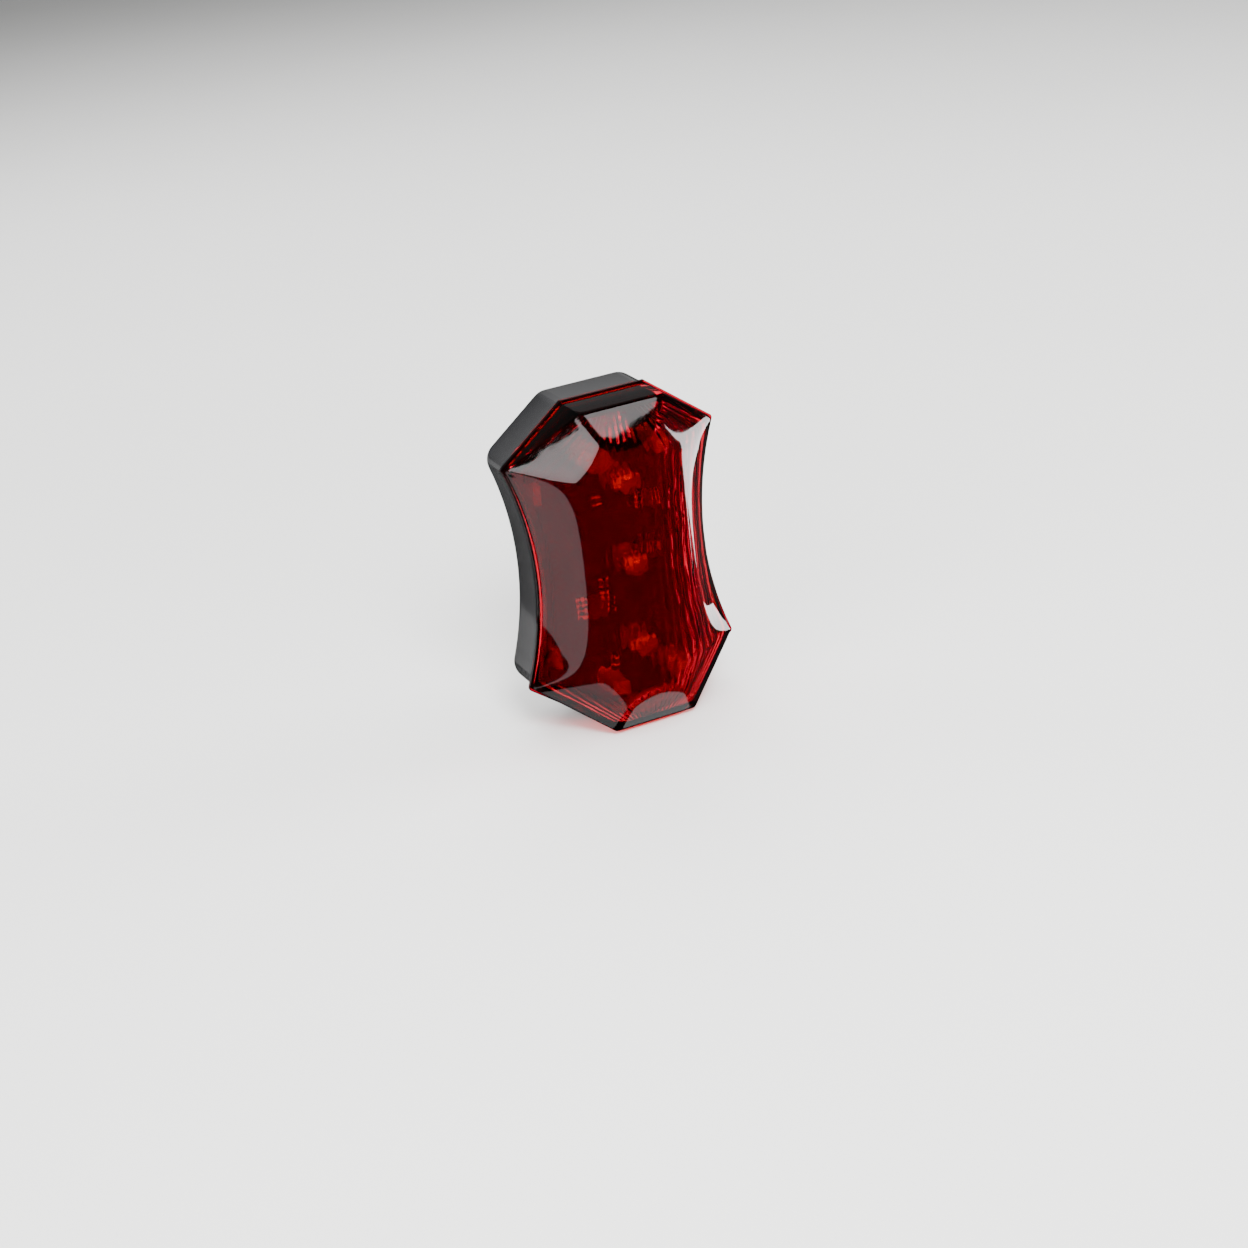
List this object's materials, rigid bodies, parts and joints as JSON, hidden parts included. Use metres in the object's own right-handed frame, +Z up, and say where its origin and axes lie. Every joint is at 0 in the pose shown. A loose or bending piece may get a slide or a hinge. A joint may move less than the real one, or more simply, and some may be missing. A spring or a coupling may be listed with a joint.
{
  "type": "clip-on safety light",
  "caption": "Pocket-size clip-on safety light: hourglass faceted red lens over lamps on a board, black cell housing, sprung band clip and push button on its lower end.",
  "frame": {"origin": "middle of the gap between the housing's back and the clip, where the carrying band passes", "axes": "+Z up as worn, +X to the right of someone who faces the lens, the lens faces -Y and the clip is on +Y"},
  "size_m": [0.0476, 0.0339, 0.0713],
  "materials": {
    "red_lens": "clear deep-red moulded plastic, polished",
    "black_gloss": "black moulded plastic, polished",
    "clip_black": "black moulded plastic, fine grain",
    "seal_rubber": "black soft rubber, smooth",
    "button_rubber": "black rubber, satin",
    "board_green": "green solder mask, satin",
    "lamp_resin": "clear tinted resin, polished",
    "chip_black": "black component body, matt",
    "tinned_wire": "tinned metal",
    "contact_nickel": "nickel-plated spring steel",
    "screw_steel": "zinc-plated steel",
    "pin_steel": "turned steel",
    "spring_steel": "drawn spring wire",
    "cell_wrap": "plain printed sleeve over steel, no marking"
  },
  "bodies": {
    "housing": {"housing": "black_gloss", "lens_seal": "seal_rubber", "cell_left": "cell_wrap", "cell_right": "cell_wrap", "contact_springs": "contact_nickel", "contact_plates": "contact_nickel", "hinge_pin": "pin_steel", "clip_spring": "spring_steel"},
    "front_unit": {"lens": "red_lens", "circuit_board": "board_green", "led_top": "lamp_resin", "led_middle": "lamp_resin", "led_bottom": "lamp_resin", "led_leads": "tinned_wire", "board_screws": "screw_steel", "driver_chip": "chip_black", "chip_legs": "tinned_wire", "resistors": "chip_black", "capacitor": "chip_black", "power_coil": "chip_black", "switch_body": "chip_black"},
    "plunger": {"switch_plunger": "clip_black"},
    "button": {"button": "button_rubber"},
    "clip": {"clip_lever": "clip_black", "clip_pad": "button_rubber"}
  },
  "joints": [
    {"name": "front_release", "type": "slide", "parent": "housing", "child": "front_unit", "axis": [0, -1, 0], "range_m": [0, 0.025]},
    {"name": "button_press", "type": "slide", "parent": "housing", "child": "button", "axis": [0, 0, 1], "range_m": [0, 0.0007], "stiffness_N_per_m": 1500},
    {"name": "plunger_press", "type": "slide", "parent": "front_unit", "child": "plunger", "axis": [0, 0, 1], "range_m": [0, 0.00025]},
    {"name": "clip_open", "type": "hinge", "parent": "housing", "child": "clip", "pos_m": [0, 0.0022, 0.019], "axis": [1, 0, 0], "range_deg": [0, 18], "stiffness_Nm_per_rad": 0.35, "springref_deg": -20.05, "deforming": ["clip_spring"]}
  ],
  "couplings": [
    {"joint": "plunger_press", "follows": "button_press", "ratio": 0.35}
  ]
}
